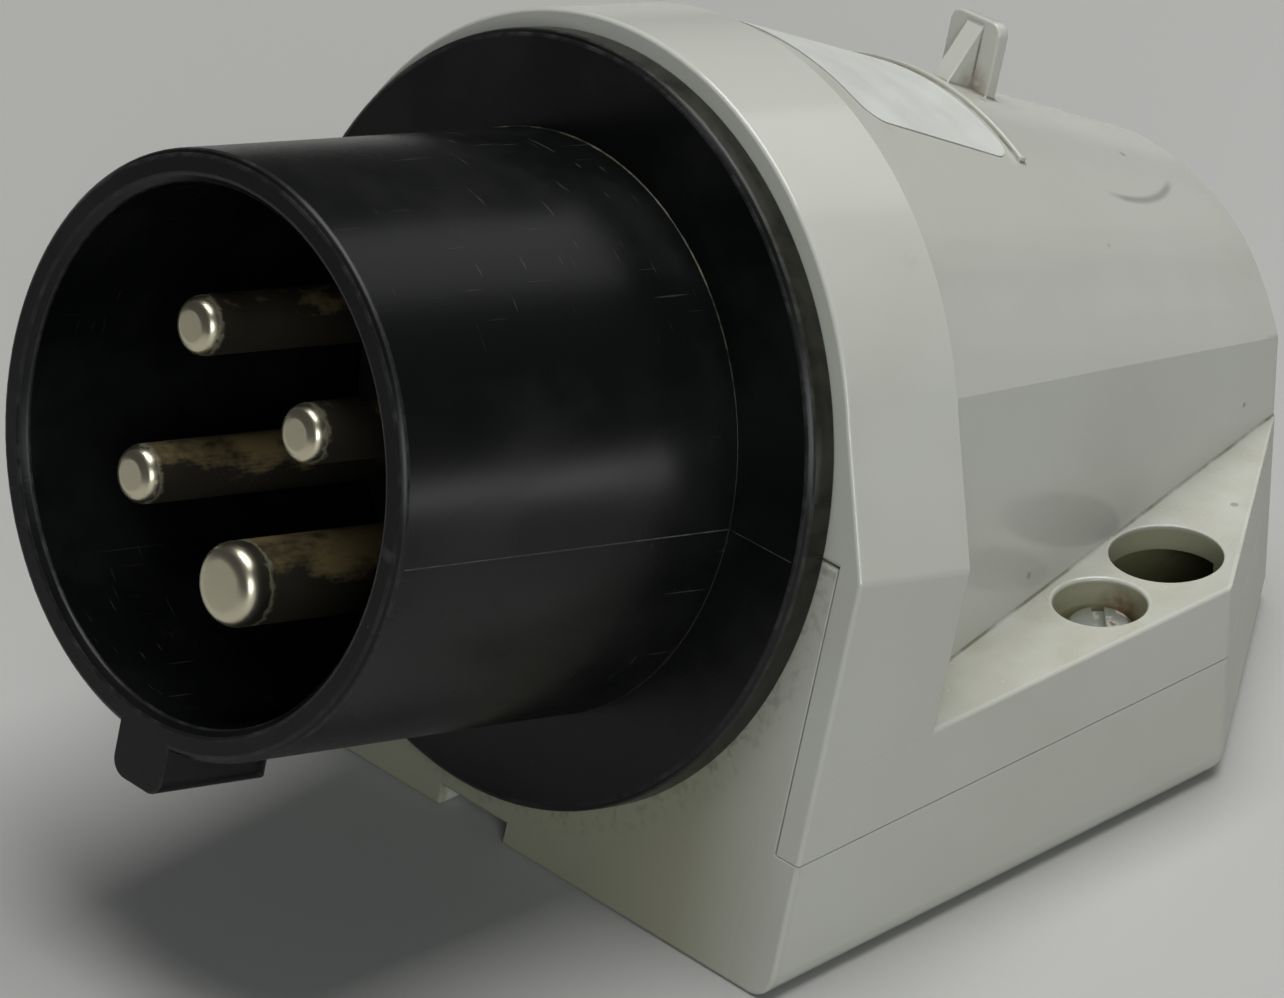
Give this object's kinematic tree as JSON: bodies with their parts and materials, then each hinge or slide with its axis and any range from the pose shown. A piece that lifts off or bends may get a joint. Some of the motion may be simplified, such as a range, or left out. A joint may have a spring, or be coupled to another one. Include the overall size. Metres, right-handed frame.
{
  "type": "wall mounted appliance inlet",
  "caption": "Wall mounted pin-and-sleeve appliance inlet: tapered grey housing with screw ledges, black keyed sleeve tilted up from the wall, round contact pins.",
  "frame": {"origin": "on the wall face, midway between the two wall fixing holes", "axes": "+Z points away from the wall, +X to the right seen from the sleeve's side, and the sleeve opens towards -Y, leaning 15 degrees up from the wall"},
  "size_m": [0.075, 0.1216, 0.0702],
  "materials": {
    "body_grey": "satin light grey moulded plastic",
    "sleeve_black": "satin black moulded plastic",
    "carrier_black": "matt black moulded plastic",
    "rubber_black": "matt black rubber",
    "nickel": "tarnished nickel plate on brass",
    "zinc": "zinc plated steel"
  },
  "bodies": {
    "root": {"base": "body_grey", "cover": "body_grey", "cover_seal": "rubber_black", "sleeve": "sleeve_black", "flange_seal": "rubber_black", "contact_carrier": "carrier_black", "carrier_back_plate": "carrier_black", "carrier_screws": "zinc", "pin_l1": "nickel", "pin_l2": "nickel", "pin_l3": "nickel", "pin_earth": "nickel", "phase_terminal_screws": "zinc", "earth_terminal_screw": "zinc", "cover_screws": "zinc", "cable_grommet": "rubber_black"}
  },
  "joints": []
}
